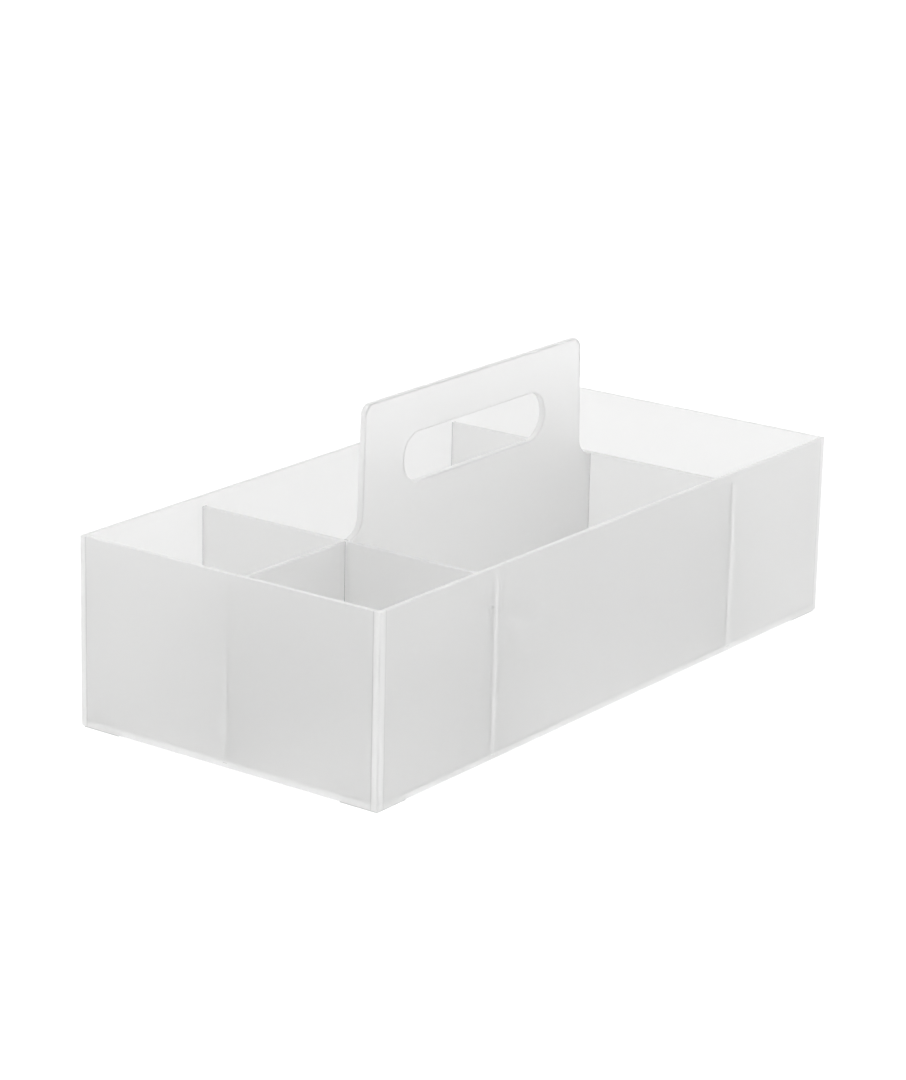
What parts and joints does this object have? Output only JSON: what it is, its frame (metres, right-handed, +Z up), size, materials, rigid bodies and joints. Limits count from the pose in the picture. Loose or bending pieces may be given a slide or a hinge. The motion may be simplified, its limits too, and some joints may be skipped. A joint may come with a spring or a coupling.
{
  "type": "makeup storage box",
  "caption": "Open storage box in frosted plastic, with upright dividers and a tall middle plate that ends in a carrying grip with a finger slot.",
  "frame": {"origin": "centre of the tray's footprint, on the surface that the feet stand on", "axes": "+X along the tray, towards the bay that has no long divider; +Y across the tray; +Z up, towards the grip"},
  "size_m": [0.32, 0.15, 0.1295],
  "materials": {
    "frosted_plastic": "fine matte, frosted and see-through only at close range"
  },
  "bodies": {
    "root": {"tray": "frosted_plastic", "left_cross_divider": "frosted_plastic", "right_cross_divider": "frosted_plastic", "left_long_divider": "frosted_plastic", "carrying_plate": "frosted_plastic"}
  },
  "joints": []
}
